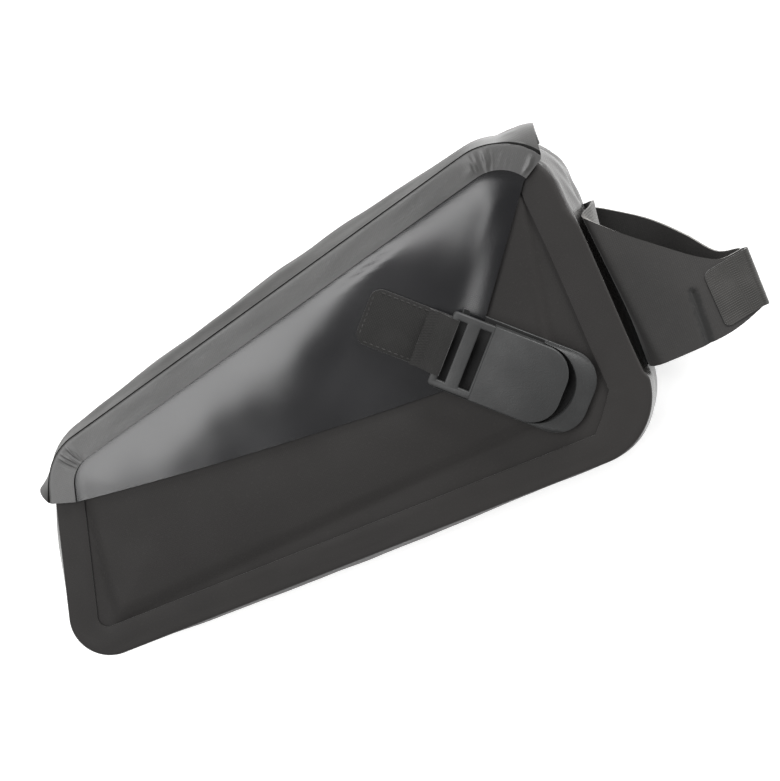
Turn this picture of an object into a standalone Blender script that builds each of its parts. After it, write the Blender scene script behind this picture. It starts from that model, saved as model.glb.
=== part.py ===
# Small welded frame bag for a bicycle, lying on its back panel with the front face up.
# X runs along the long bottom edge towards the tube strap, Y across the face towards the flap.

import math

import bmesh
import bpy
from mathutils import Matrix, Vector

# Cloth and clearances
CLOTH = 0.0012
WEBBING = 0.0014
STRAP_CLOTH = 0.0015
GAP = 0.0003
FLAP_REST = 0.0003

# Outline of the body, from sharp corner to sharp corner
BOTTOM_LENGTH = 0.276
LEFT_HEIGHT = 0.0903
LEFT_LEAN = 0.0284
RIGHT_HEIGHT = 0.147
RIGHT_LEAN = 0.008
LOWER_LEFT_RADIUS = 0.017
LOWER_RIGHT_RADIUS = 0.030
UPPER_RIGHT_RADIUS = 0.0265
UPPER_LEFT_RADIUS = 0.0235
DEPTH = 0.050
ARC_STEPS = 7
SIDE_STEP = 0.015
PANEL_STEP = 0.010
MERGE = 0.00001

# Side wall and rim
BULGE = 0.0049
LOWER_BULGE = 0.55
UPPER_LEFT_BULGE = 0.50
UPPER_RIGHT_BULGE = 0.30
RIGHT_SIDE_BULGE = 1.0
BULGE_FADE = 0.6
RIM_LEFT = 0.0124
RIM_BOTTOM = 0.013
RIM_RIGHT = 0.016
FOLD = 0.001

# Face: a dome inside the rim, with a flat seat under the buckle
FACE_CROWN = 0.0026
FACE_SEAT = 0.0012
FACE_RISE = 0.0035
CROWN_REACH = 0.022
SEAT_REACH = 0.016
DENTS = (
    # along, across: shares of the bottom length and the right height; reach and depth: shares of the
    # bottom length and of the crown
    {"along": 0.17, "across": 0.30, "reach": 0.12, "depth": 0.45},
    {"along": 0.50, "across": 0.20, "reach": 0.13, "depth": 0.30},
    {"along": 0.62, "across": 0.66, "reach": 0.12, "depth": 0.35},
)

# Flap
BAND_WIDTH = 0.011
FLAP_LEFT_END = 0.0065
FLAP_RIGHT_TURN = 0.72
FLAP_TIP_IN = 0.0725
FLAP_TIP_UP = 0.0535
FLAP_TIP_RADIUS = 0.005
FLAP_SAG = 0.0015
FLAP_EDGE_STEPS = 6
WING_REACH_RIGHT = 0.020
WING_REACH_LEFT = 0.012
WING_CURVE = 1.2
WING_RIGHT = (-0.0003, 0.0114)
WING_LEFT = (-0.0050, 0.0049)

# Buckle, in its own frame: along its axis from the plate's near edge, and across
BUCKLE_ANGLE = -43.5
BUCKLE_FROM_TIP = (0.0023, 0.0112)
CLIP_HALF_WIDTH = 0.0164
CLIP_RAIL = 0.003
CLIP_BAR = 0.0032
CLIP_SLOT_NEAR = 0.0036
CLIP_CENTRE_BAR = 0.0058
CLIP_SLOT_FAR = 0.0048
CLIP_LIP = 0.0006
CLIP_STEP = 0.0004
CLIP_PLATE = 0.0357
CLIP_PLATE_RADIUS = 0.012
CLIP_THICK = 0.0034
COLLAR_GAP = 0.0033
COLLAR_CREST = 0.0012
COLLAR_START = 0.021
COLLAR_HEIGHT = 0.0044
BASE_LENGTH = 0.048
BASE_HALF_WIDTH = 0.0178
BASE_RADIUS = 0.013
BASE_THICK = 0.002
WEBBING_WIDTH = 0.0245
WEBBING_SHIFT = 0.0007
WEBBING_END = 0.0096
PATCH_LENGTH = 0.0345
PATCH_RADIUS = 0.005

# Tube strap on the right wall
STRAP_FROM = 0.0293
STRAP_WIDTH = 0.069
STRAP_REACH = 0.0473
STRAP_TIP_WIDTH = 0.0256
STRAP_TIP_UP = 0.0051
STRAP_ROOT_OUT = 0.0030
STRAP_ROOT_HEIGHT = 0.84
STRAP_LEAVES = (
    # out: share of the reach; low, high, back_high: where the edges lie between the root's edges (0)
    # and the tip's (1), the back leaf with an upper edge of its own; front, back: shares of the depth
    {"out": 1.00, "low": 1.00, "high": 1.00, "back_high": 1.00, "front": 0.620, "back": 0.530},
    {"out": 0.82, "low": 0.45, "high": 1.00, "back_high": 0.97, "front": 0.680, "back": 0.455},
    {"out": 0.645, "low": 0.13, "high": 0.86, "back_high": 0.72, "front": 0.745, "back": 0.360},
    {"out": 0.42, "low": 0.02, "high": 0.60, "back_high": 0.42, "front": 0.815, "back": 0.240},
    {"out": 0.14, "low": 0.00, "high": 0.26, "back_high": 0.12, "front": 0.860, "back": 0.150},
)
BASE_LEVELS = (0.70, 0.50, 0.30, 0.12)
TAB_WIDTH = 0.025
TAB_FROM = 0.62
TAB_DROP = 0.0021

# Heights across the side wall, as shares of the depth, and how far each bulges
WALL_LEVELS = (0.12, 0.30, 0.50, 0.70, 0.88)

SHEET = CLOTH + GAP
COLOURS = {
    "coated_cloth": ((0.055, 0.050, 0.049, 1.0), 0.62),
    "flap_cloth": ((0.050, 0.049, 0.053, 1.0), 0.38),
    "band_cloth": ((0.085, 0.084, 0.083, 1.0), 0.55),
    "webbing_grey": ((0.070, 0.068, 0.064, 1.0), 0.85),
    "buckle_plastic": ((0.045, 0.045, 0.047, 1.0), 0.48),
}


def clear_scene():
    for item in list(bpy.data.objects):
        bpy.data.objects.remove(item)


def make_material(name):
    colour, roughness = COLOURS[name]
    made = bpy.data.materials.new(name)
    made.use_nodes = True
    shader = made.node_tree.nodes["Principled BSDF"]
    shader.inputs["Base Color"].default_value = colour
    shader.inputs["Roughness"].default_value = roughness
    shader.inputs["Metallic"].default_value = 0.0
    return made


def add_object(name, mesh_data, made):
    bmesh.ops.recalc_face_normals(mesh_data, faces=mesh_data.faces)
    mesh = bpy.data.meshes.new(name)
    mesh_data.to_mesh(mesh)
    mesh_data.free()
    mesh.shade_smooth()
    mesh.set_sharp_from_angle(angle=math.radians(35))
    mesh.materials.append(made)
    item = bpy.data.objects.new(name, mesh)
    bpy.context.scene.collection.objects.link(item)
    return item


def smooth(share):
    held = min(max(share, 0.0), 1.0)
    return held * held * (3 - 2 * held)


# Outlines


def body_corners():
    return [
        Vector((0.0, 0.0)),
        Vector((BOTTOM_LENGTH, 0.0)),
        Vector((BOTTOM_LENGTH - RIGHT_LEAN, RIGHT_HEIGHT)),
        Vector((LEFT_LEAN, LEFT_HEIGHT)),
    ]


CORNER_RADII = (LOWER_LEFT_RADIUS, LOWER_RIGHT_RADIUS, UPPER_RIGHT_RADIUS, UPPER_LEFT_RADIUS)


def outward(direction):
    return Vector((direction.y, -direction.x))


def offset_corners(corners, distances):
    """Corners of the outline with each side moved outwards; side i runs from corner i to the next."""
    moved = []
    count = len(corners)
    for i in range(count):
        before = (corners[i] - corners[i - 1]).normalized()
        after = (corners[(i + 1) % count] - corners[i]).normalized()
        start = corners[i] + outward(before) * distances[i - 1]
        end = corners[i] + outward(after) * distances[i]
        reach = (end - start).cross(after) / before.cross(after)
        moved.append(start + before * reach)
    return moved


def corner_arc(corners, index, radius, steps=ARC_STEPS):
    """Points and outward normals round one corner, in the order of the outline."""
    corner = corners[index]
    before = (corner - corners[index - 1]).normalized()
    after = (corners[(index + 1) % len(corners)] - corner).normalized()
    turn = before.angle(after)
    tangent = radius * math.tan(turn / 2)
    centre = corner - before * tangent - outward(before) * radius
    found = []
    for step in range(steps + 1):
        normal = outward(before).copy()
        normal.rotate(Matrix.Rotation(turn * step / steps, 2))
        found.append((centre + normal * radius, normal))
    return found


def rounded(corners, radii, steps=ARC_STEPS):
    points = []
    for index, radius in enumerate(radii):
        if radius <= 0:
            points.append(corners[index].copy())
            continue
        points.extend(point for point, normal in corner_arc(corners, index, radius, steps))
    return points


def inside_by(outline, x, y):
    """Distance from the outline, positive inside it."""
    nearest = 1.0
    inside = False
    for i, a in enumerate(outline):
        b = outline[(i + 1) % len(outline)]
        run = b - a
        share = min(max(((x - a.x) * run.x + (y - a.y) * run.y) / run.length_squared, 0.0), 1.0)
        nearest = min(nearest, math.hypot(x - a.x - run.x * share, y - a.y - run.y * share))
        if (a.y > y) != (b.y > y) and x < a.x + (y - a.y) * run.x / run.y:
            inside = not inside
    return nearest if inside else -nearest


# Buckle frame


def flap_tip():
    return Vector((BOTTOM_LENGTH - FLAP_TIP_IN, FLAP_TIP_UP))


def buckle_axes():
    angle = math.radians(BUCKLE_ANGLE)
    along = Vector((math.cos(angle), math.sin(angle)))
    across = Vector((-along.y, along.x))
    return along, across


def buckle_origin():
    along, across = buckle_axes()
    return flap_tip() + along * BUCKLE_FROM_TIP[0] + across * BUCKLE_FROM_TIP[1]


def on_buckle(s, w, z):
    along, across = buckle_axes()
    flat = buckle_origin() + along * s + across * w
    return Vector((flat.x, flat.y, z))


FRAME_LENGTH = CLIP_BAR + CLIP_SLOT_NEAR + CLIP_CENTRE_BAR + CLIP_SLOT_FAR + CLIP_LIP
SEAT_HEIGHT = DEPTH + FACE_SEAT
PATCH_BOTTOM = SEAT_HEIGHT + SHEET + FLAP_REST + GAP
LOOP_BOTTOM = PATCH_BOTTOM + WEBBING + GAP
BAR_BOTTOM = LOOP_BOTTOM + WEBBING + GAP
BASE_BOTTOM = SEAT_HEIGHT + GAP
BASE_TOP = BASE_BOTTOM + BASE_THICK


def seat_share(x, y):
    """1 under the buckle and its strap, 0 away from it."""
    along, across = buckle_axes()
    place = Vector((x, y)) - buckle_origin()
    s = place.dot(along)
    w = place.dot(across)
    beyond = math.hypot(max(-s - FRAME_LENGTH - PATCH_LENGTH, s - BASE_LENGTH, 0.0),
                        max(abs(w) - BASE_HALF_WIDTH, 0.0))
    return 1.0 - smooth(beyond / SEAT_REACH)


def crown(x, y):
    """Height of the face above the rim's level."""
    depth = inside_by(FACE, x, y)
    if depth <= 0:
        return 0.0
    share = 1.0 - math.exp(-depth / CROWN_REACH)
    rise = 1.0
    for dent in DENTS:
        away = math.hypot(x - dent["along"] * BOTTOM_LENGTH, y - dent["across"] * RIGHT_HEIGHT)
        rise -= dent["depth"] * math.exp(-(away / (dent["reach"] * BOTTOM_LENGTH)) ** 2)
    seat = seat_share(x, y)
    domed = FACE_CROWN * share * rise
    return domed * (1 - seat) + FACE_SEAT * smooth(depth / FACE_RISE) * seat


# Building blocks


def sheet_solid(upper, lower):
    """Closed solid between two grids of points with the same rows and columns."""
    made = bmesh.new()
    grids = [[[made.verts.new(point) for point in row] for row in grid] for grid in (upper, lower)]
    rows = len(upper)
    columns = len(upper[0])
    for grid in grids:
        for i in range(rows - 1):
            for j in range(columns - 1):
                made.faces.new((grid[i][j], grid[i][j + 1], grid[i + 1][j + 1], grid[i + 1][j]))
    top, bottom = grids
    for j in range(columns - 1):
        for i in (0, rows - 1):
            made.faces.new((top[i][j], top[i][j + 1], bottom[i][j + 1], bottom[i][j]))
    for i in range(rows - 1):
        for j in (0, columns - 1):
            made.faces.new((top[i][j], top[i + 1][j], bottom[i + 1][j], bottom[i][j]))
    return made


def offset_line(points, distance):
    """A line of 2D points moved to its left by a distance, mitred at its bends."""
    moved = []
    for i, point in enumerate(points):
        before = (point - points[i - 1]).normalized() if i else None
        after = (points[i + 1] - point).normalized() if i + 1 < len(points) else None
        before = before or after
        after = after or before
        normal = (Vector((-before.y, before.x)) + Vector((-after.y, after.x))).normalized()
        bend = max(normal.dot(Vector((-before.y, before.x))), 0.5)
        moved.append(point + normal * distance / bend)
    return moved


def strip_faces(outer, inner, closed):
    """Quads between two lines with as many points."""
    count = len(outer)
    faces = []
    for i in range(count if closed else count - 1):
        j = (i + 1) % count
        faces.append((outer[i], outer[j], inner[j], inner[i]))
    return faces


def panel_solid(faces, spacing, height):
    """Cloth sheet over flat faces that share points, cut along a grid and lifted to a height."""
    made = bmesh.new()
    shared = {}
    for face in faces:
        corners = []
        for point in face:
            key = (round(point.x, 7), round(point.y, 7))
            if key not in shared:
                shared[key] = made.verts.new((point.x, point.y, 0.0))
            if shared[key] not in corners:
                corners.append(shared[key])
        made.faces.new(corners)
    points = [vert.co.copy() for vert in made.verts]
    for axis in (0, 1):
        low = min(point[axis] for point in points)
        high = max(point[axis] for point in points)
        count = max(1, round((high - low) / spacing))
        normal = Vector((1.0 - axis, float(axis), 0.0))
        for step in range(1, count):
            place = low + (high - low) * step / count
            whole = list(made.verts) + list(made.edges) + list(made.faces)
            bmesh.ops.bisect_plane(made, geom=whole, dist=MERGE, plane_co=normal * place, plane_no=normal)
    lifted = bmesh.ops.extrude_face_region(made, geom=list(made.faces))
    upper = {item for item in lifted["geom"] if isinstance(item, bmesh.types.BMVert)}
    for vert in made.verts:
        level = height(vert.co.x, vert.co.y)
        vert.co.z = level if vert in upper else level - CLOTH
    return made


def prism(outline, bottom, top):
    made = bmesh.new()
    low = [made.verts.new((point.x, point.y, bottom)) for point in outline]
    high = [made.verts.new((point.x, point.y, top)) for point in outline]
    made.faces.new(low)
    made.faces.new(high)
    for i in range(len(low)):
        j = (i + 1) % len(low)
        made.faces.new((low[i], low[j], high[j], high[i]))
    return made


def to_buckle(points):
    placed = []
    for point in points:
        flat = on_buckle(point[0], point[1], 0.0)
        placed.append(Vector((flat.x, flat.y)))
    return placed


# Side walls


def side_bulge(before, after, share):
    """How much of the bulge a wall has at a share of its straight run between two corners."""
    held = min(max(share, 0.0), 1.0)
    level = before + (after - before) * held
    return level + (1 - level) * math.sin(math.pi * held)


def wall_bulge(height_share):
    return BULGE * math.sin(math.pi * min(max(height_share, 0.0), 1.0))


def corner_stations(index, rim_before, rim_after, bulge_before, bulge_after):
    stations = []
    arc = corner_arc(body_corners(), index, CORNER_RADII[index])
    steps = len(arc) - 1
    for step in range(steps + 1):
        point, normal = arc[step]
        share = step / steps
        rim = rim_before + (rim_after - rim_before) * share
        bulge = bulge_before + (bulge_after - bulge_before) * smooth(share / BULGE_FADE)
        stations.append({"at": point, "normal": normal, "rim": rim, "bulge": bulge})
    return stations


def side_stations(start, end, rim):
    """Stations between two corner arcs, without the arcs' own ends."""
    run = end["at"] - start["at"]
    count = max(2, round(run.length / SIDE_STEP))
    stations = []
    for step in range(1, count):
        share = step / count
        at = start["at"] + run * share
        bulge = side_bulge(start["bulge"], end["bulge"], share)
        stations.append({"at": at, "normal": start["normal"], "rim": rim, "bulge": bulge})
    return stations


def body_stations():
    """From the mouth's left end down, along the bottom and up to the mouth's right end."""
    upper_left = corner_stations(3, BAND_WIDTH, RIM_LEFT, UPPER_LEFT_BULGE, UPPER_LEFT_BULGE)
    lower_left = corner_stations(0, RIM_LEFT, RIM_BOTTOM, LOWER_BULGE, LOWER_BULGE)
    lower_right = corner_stations(1, RIM_BOTTOM, RIM_RIGHT, LOWER_BULGE, LOWER_BULGE)
    upper_right = corner_stations(2, RIM_RIGHT, BAND_WIDTH, RIGHT_SIDE_BULGE, UPPER_RIGHT_BULGE)
    left = side_stations(upper_left[-1], lower_left[0], RIM_LEFT)
    bottom = side_stations(lower_left[-1], lower_right[0], RIM_BOTTOM)
    right = side_stations(lower_right[-1], upper_right[0], RIM_RIGHT)
    return upper_left + left + lower_left + bottom + lower_right + right + upper_right


def face_outline(extra=0.0):
    """Where the rim and the band end and the face begins."""
    return [station["at"] - station["normal"] * (station["rim"] + extra) for station in body_stations()]


def tucked_outline():
    """Edge of the front panel, just inside the side wall."""
    return [station["at"] - station["normal"] * SHEET for station in body_stations()]


FACE = face_outline()


def wall_solid(stations, standoff, fold_height, flares=None):
    """A wall that stands on the back panel and is folded over the front as a rim."""
    flares = flares or [Vector((0.0, 0.0))] * len(stations)
    upper = []
    lower = []
    foot = SHEET
    for station, flare in zip(stations, flares):
        line = [Vector((standoff, foot))]
        for level in WALL_LEVELS:
            bulge = wall_bulge(level) * station["bulge"]
            line.append(Vector((standoff + bulge, level * DEPTH)))
        line.append(Vector((standoff, fold_height - FOLD)))
        line.append(Vector((standoff - FOLD, fold_height)))
        line.append(Vector((standoff - station["rim"] / 2, fold_height)))
        line.append(Vector((standoff - station["rim"], fold_height)))
        inner = offset_line(line, CLOTH)
        inner[0].y = foot
        for grid, points in ((upper, line), (lower, inner)):
            row = []
            for point in points:
                share = math.sin(math.pi * min(point.y / fold_height, 1.0))
                flat = station["at"] + station["normal"] * point.x + flare * share
                row.append(Vector((flat.x, flat.y, point.y)))
            grid.append(row)
    return sheet_solid(upper, lower)


def flap_stations():
    """From the flap's right end round the corner, along the top and past the left corner."""
    upper_right = corner_stations(2, BAND_WIDTH, BAND_WIDTH, UPPER_RIGHT_BULGE, UPPER_RIGHT_BULGE)
    first = round((1 - FLAP_RIGHT_TURN) * ARC_STEPS)
    upper_right = upper_right[first:]
    upper_left = corner_stations(3, BAND_WIDTH, BAND_WIDTH, UPPER_LEFT_BULGE, UPPER_LEFT_BULGE)
    top = side_stations(upper_right[-1], upper_left[0], BAND_WIDTH)
    last = upper_left[-1]
    down = (body_corners()[0] - body_corners()[3]).normalized()
    end = dict(last, at=last["at"] + down * FLAP_LEFT_END)
    return upper_right + top + upper_left + [end]


def wing_flares(stations):
    """How far the free ends stand off, growing towards the cut edges."""
    lengths = [0.0]
    for before, after in zip(stations, stations[1:]):
        lengths.append(lengths[-1] + (after["at"] - before["at"]).length)
    flares = []
    for length in lengths:
        right = max(1 - length / WING_REACH_RIGHT, 0.0) ** WING_CURVE
        left = max(1 - (lengths[-1] - length) / WING_REACH_LEFT, 0.0) ** WING_CURVE
        flares.append(Vector(WING_RIGHT) * right + Vector(WING_LEFT) * left)
    return flares


# Pieces


def make_back_panel(made):
    corners = offset_corners(body_corners(), [SHEET] * 4)
    outline = rounded(corners, [radius + SHEET for radius in CORNER_RADII])
    return add_object("back_panel", prism(outline, 0.0, CLOTH), made)


def make_front_panel(made):
    outline = tucked_outline()

    def height(x, y):
        lift = smooth(inside_by(FACE, x, y) / FACE_RISE)
        return DEPTH - SHEET + SHEET * lift + crown(x, y)

    raised = face_outline(FACE_RISE)
    faces = strip_faces(outline, FACE, True) + strip_faces(FACE, raised, True) + [raised]
    return add_object("front_panel", panel_solid(faces, PANEL_STEP, height), made)


def make_gusset(made):
    stations = body_stations()
    solid = wall_solid(stations, 0.0, DEPTH)
    return add_object("gusset", solid, made)


def flap_free_edge(left, right):
    """The flap's free edges, from its left end along the lower edge, round the tip to its right end."""
    tip = [point for point, normal in corner_arc([left, flap_tip(), right], 1, FLAP_TIP_RADIUS, 4)]
    run = tip[0] - left
    sag = outward(run.normalized())
    lower = []
    for step in range(1, FLAP_EDGE_STEPS):
        share = step / FLAP_EDGE_STEPS
        lower.append(left + run * share + sag * FLAP_SAG * math.sin(math.pi * share))
    return lower + tip


def make_flap_panel(made):
    stations = flap_stations()
    outer = [station["at"] for station in stations]
    inner = [station["at"] - station["normal"] * BAND_WIDTH for station in stations]

    def height(x, y):
        return DEPTH + SHEET + FLAP_REST + crown(x, y)

    faces = strip_faces(outer, inner, False) + [inner + flap_free_edge(inner[-1], inner[0])]
    return add_object("flap_panel", panel_solid(faces, PANEL_STEP, height), made)


def make_flap_gusset(made):
    stations = flap_stations()
    fold_height = DEPTH + 2 * SHEET + FLAP_REST
    solid = wall_solid(stations, SHEET, fold_height, wing_flares(stations))
    return add_object("flap_gusset", solid, made)


def webbing_edges():
    return WEBBING_SHIFT - WEBBING_WIDTH / 2, WEBBING_SHIFT + WEBBING_WIDTH / 2


def make_strap_patch(made):
    low, high = webbing_edges()
    near = -FRAME_LENGTH
    far = -FRAME_LENGTH - PATCH_LENGTH
    corners = rectangle(far, near, low, high)
    outline = to_buckle(rounded(corners, (PATCH_RADIUS, 0.0, 0.0, PATCH_RADIUS)))
    return add_object("strap_patch", prism(outline, PATCH_BOTTOM, PATCH_BOTTOM + WEBBING), made)


def ribbon(path, edges, thickness, place):
    """Webbing along a 2D path, between two edges, with its thickness on the path's left."""
    far = offset_line(path, thickness)
    grids = []
    for line in (path, far):
        grids.append([[place(point.x, edge, point.y) for edge in edges] for point in line])
    return sheet_solid(*grids)


def make_buckle_webbing(made):
    bar_near = -FRAME_LENGTH - GAP
    bar_far = -FRAME_LENGTH + CLIP_BAR + GAP
    under = BAR_BOTTOM - GAP
    over = BAR_BOTTOM + CLIP_THICK + GAP
    free = -FRAME_LENGTH - WEBBING_END
    path = [
        Vector((free, under + GAP)),
        Vector((free + WEBBING_END * 0.35, under + GAP)),
        Vector((bar_near, over)),
        Vector((bar_far - GAP, over)),
        Vector((bar_far, over - GAP)),
        Vector((bar_far, under + GAP)),
        Vector((bar_far - GAP, under)),
        Vector((free, under)),
    ]
    return add_object("buckle_webbing", ribbon(path, webbing_edges(), WEBBING, on_buckle), made)


def guide(name, made):
    """A hidden solid that another piece is cut with or joined to."""
    bmesh.ops.recalc_face_normals(made, faces=made.faces)
    mesh = bpy.data.meshes.new(name)
    made.to_mesh(mesh)
    made.free()
    item = bpy.data.objects.new(name, mesh)
    item.hide_render = True
    item.display_type = "WIRE"
    bpy.context.scene.collection.objects.link(item)
    return item


def cutter(name, outline, bottom, top):
    return guide(name, prism(outline, bottom, top))


def add_boolean(item, tool, operation):
    step = item.modifiers.new(tool.name, "BOOLEAN")
    step.operation = operation
    step.object = tool


def rectangle(start, end, low, high):
    return [Vector((start, low)), Vector((end, low)), Vector((end, high)), Vector((start, high))]


def make_buckle_clip(made):
    half = CLIP_HALF_WIDTH
    plate_corners = rectangle(0.0, CLIP_PLATE, -half, half)
    plate = to_buckle(rounded(plate_corners, (0, CLIP_PLATE_RADIUS, CLIP_PLATE_RADIUS, 0)))
    top = BAR_BOTTOM + CLIP_THICK
    item = add_object("buckle_clip", prism(plate, BASE_TOP + GAP, top + CLIP_STEP), made)
    frame_half = half - CLIP_STEP
    frame = to_buckle(rectangle(-FRAME_LENGTH, CLIP_RAIL, -frame_half, frame_half))
    add_boolean(item, cutter("clip_frame", frame, BAR_BOTTOM, top), "UNION")
    opening = half - CLIP_RAIL
    near = -FRAME_LENGTH + CLIP_BAR
    far = near + CLIP_SLOT_NEAR + CLIP_CENTRE_BAR
    slots = (("near_slot", near, CLIP_SLOT_NEAR), ("far_slot", far, CLIP_SLOT_FAR))
    for name, start, width in slots:
        hole = to_buckle(rectangle(start, start + width, -opening, opening))
        add_boolean(item, cutter(name, hole, BAR_BOTTOM - CLIP_THICK, top + CLIP_THICK), "DIFFERENCE")
    return item


def collar_line(half, end, radius):
    """Half-round line from one side of the clip's plate, round its end, to the other side."""
    return to_buckle(rounded(rectangle(COLLAR_START, end, -half, half), (0, radius, radius, 0)))


def collar_solid():
    """Raised collar round the plate's end, sloping down from its crest to the base's edge."""
    inner_half = CLIP_HALF_WIDTH + GAP
    inner_end = CLIP_PLATE + COLLAR_GAP
    inner_radius = CLIP_PLATE_RADIUS + COLLAR_GAP
    inner = collar_line(inner_half, inner_end, inner_radius)
    outer_half = BASE_HALF_WIDTH - GAP
    outer = collar_line(outer_half, BASE_LENGTH - GAP, BASE_RADIUS - GAP)
    low = BASE_BOTTOM + BASE_THICK / 2
    shoulder = BASE_TOP + GAP
    high = BASE_TOP + COLLAR_HEIGHT
    made = bmesh.new()
    sections = []
    for near, far in zip(inner, outer):
        crest = near + (far - near) * min(COLLAR_CREST / (far - near).length, 0.5)
        places = ((near, low), (near, high), (crest, high), (far, shoulder), (far, low))
        sections.append([made.verts.new((point.x, point.y, z)) for point, z in places])
    for before, after in zip(sections, sections[1:]):
        for i in range(len(before)):
            j = (i + 1) % len(before)
            made.faces.new((before[i], before[j], after[j], after[i]))
    made.faces.new(sections[0])
    made.faces.new(sections[-1])
    return made


def make_buckle_base(made):
    corners = rectangle(CLIP_LIP, BASE_LENGTH, -BASE_HALF_WIDTH, BASE_HALF_WIDTH)
    plate = to_buckle(rounded(corners, (0, BASE_RADIUS, BASE_RADIUS, 0)))
    item = add_object("buckle_base", prism(plate, BASE_BOTTOM, BASE_TOP), made)
    add_boolean(item, guide("base_collar", collar_solid()), "UNION")
    return item


# Tube strap


def right_edge_x(y):
    return BOTTOM_LENGTH - RIGHT_LEAN * y / RIGHT_HEIGHT


def right_side_share(y):
    """Share of the right wall's straight run at a height across the face."""
    start = corner_arc(body_corners(), 1, LOWER_RIGHT_RADIUS)[-1][0].y
    end = corner_arc(body_corners(), 2, UPPER_RIGHT_RADIUS)[0][0].y
    return (y - start) / (end - start)


def strap_rows(side):
    """Stations of one leaf from its tip to its root, each with its edges and its height."""
    root_low = STRAP_FROM
    root_high = STRAP_FROM + STRAP_WIDTH
    tip_low = STRAP_FROM + STRAP_TIP_UP
    tip_high = tip_low + STRAP_TIP_WIDTH
    rows = []
    for leaf in STRAP_LEAVES:
        high_share = leaf["high"] if side == "front" else leaf["back_high"]
        low = root_low + (tip_low - root_low) * leaf["low"]
        high = root_high + (tip_high - root_high) * high_share
        rows.append({"out": leaf["out"], "low": low, "high": high, "z": leaf[side] * DEPTH})
    return rows


def strap_line(share):
    """Outer face of the strap across its width: tip, front leaf, base on the wall, back leaf, tip."""
    points = []
    fronts = strap_rows("front")
    backs = strap_rows("back")
    root_y = STRAP_FROM + STRAP_WIDTH * share

    def leaf_point(row):
        y = row["low"] + (row["high"] - row["low"]) * share
        start = right_edge_x(root_y) + BULGE
        tip = BOTTOM_LENGTH + BULGE + STRAP_REACH
        return Vector((start + (tip - start) * row["out"], y, row["z"]))

    points.extend(leaf_point(row) for row in fronts)
    points.append(Vector((right_edge_x(root_y) + STRAP_ROOT_OUT, root_y, STRAP_ROOT_HEIGHT * DEPTH)))
    for level in BASE_LEVELS:
        fullness = side_bulge(LOWER_BULGE, RIGHT_SIDE_BULGE, right_side_share(root_y))
        bulge = wall_bulge(level) * fullness
        points.append(Vector((right_edge_x(root_y) + bulge + GAP, root_y, level * DEPTH)))
    points.extend(leaf_point(row) for row in reversed(backs))
    return points


def offset_in_xz(points, distance):
    flat = offset_line([Vector((point.x, point.z)) for point in points], distance)
    return [Vector((moved.x, point.y, moved.y)) for moved, point in zip(flat, points)]


def make_tube_strap(made):
    shares = [step / 5 for step in range(6)]
    outer = [strap_line(share) for share in shares]
    inner = [offset_in_xz(line, STRAP_CLOTH) for line in outer]
    return add_object("tube_strap", sheet_solid(outer, inner), made)


def tab_line(edge):
    """Inner face of the hook tab: out along the front leaf, round the tip and back along the back leaf."""
    tip = BOTTOM_LENGTH + BULGE + STRAP_REACH
    leaves = []
    for side in ("front", "back"):
        line = []
        for row in strap_rows(side):
            if row["out"] < TAB_FROM:
                continue
            drop = TAB_DROP * (1 - row["out"]) / (1 - TAB_FROM)
            y = STRAP_FROM + STRAP_TIP_UP - drop + TAB_WIDTH * edge
            share = (y - row["low"]) / (row["high"] - row["low"])
            start = right_edge_x(STRAP_FROM + STRAP_WIDTH * share) + BULGE
            line.append(Vector((start + (tip - start) * row["out"], y, row["z"])))
        leaves.append(line)
    front, back = leaves
    wrap = [Vector((tip + STRAP_CLOTH, end.y, end.z)) for end in (front[0], back[0])]
    return offset_in_xz(front[::-1] + wrap + back, GAP)


def make_strap_tab(made):
    inner = [tab_line(edge) for edge in (0.0, 0.5, 1.0)]
    outer = [offset_in_xz(line, STRAP_CLOTH) for line in inner]
    return add_object("strap_tab", sheet_solid(outer, inner), made)


def centre_on_origin():
    """Stands the bag on the ground plane, centred over the origin."""
    items = [item for item in bpy.data.objects if item.type == "MESH"]
    shown = [item for item in items if not item.hide_render]
    corners = []
    bpy.context.view_layer.update()
    for item in shown:
        corners.extend(vertex.co.copy() for vertex in item.data.vertices)
    low = Vector([min(corner[axis] for corner in corners) for axis in range(3)])
    high = Vector([max(corner[axis] for corner in corners) for axis in range(3)])
    shift = Vector((-(low.x + high.x) / 2, -(low.y + high.y) / 2, -low.z))
    for item in items:
        item.location = shift


def main():
    clear_scene()
    made = {name: make_material(name) for name in COLOURS}
    make_back_panel(made["coated_cloth"])
    make_front_panel(made["coated_cloth"])
    make_gusset(made["coated_cloth"])
    make_flap_panel(made["flap_cloth"])
    make_flap_gusset(made["band_cloth"])
    make_strap_patch(made["webbing_grey"])
    make_buckle_webbing(made["webbing_grey"])
    make_buckle_clip(made["buckle_plastic"])
    make_buckle_base(made["buckle_plastic"])
    make_tube_strap(made["coated_cloth"])
    make_strap_tab(made["webbing_grey"])
    centre_on_origin()


main()
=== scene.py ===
import math

import bmesh
import bpy
from mathutils import Matrix, Vector, noise


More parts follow.
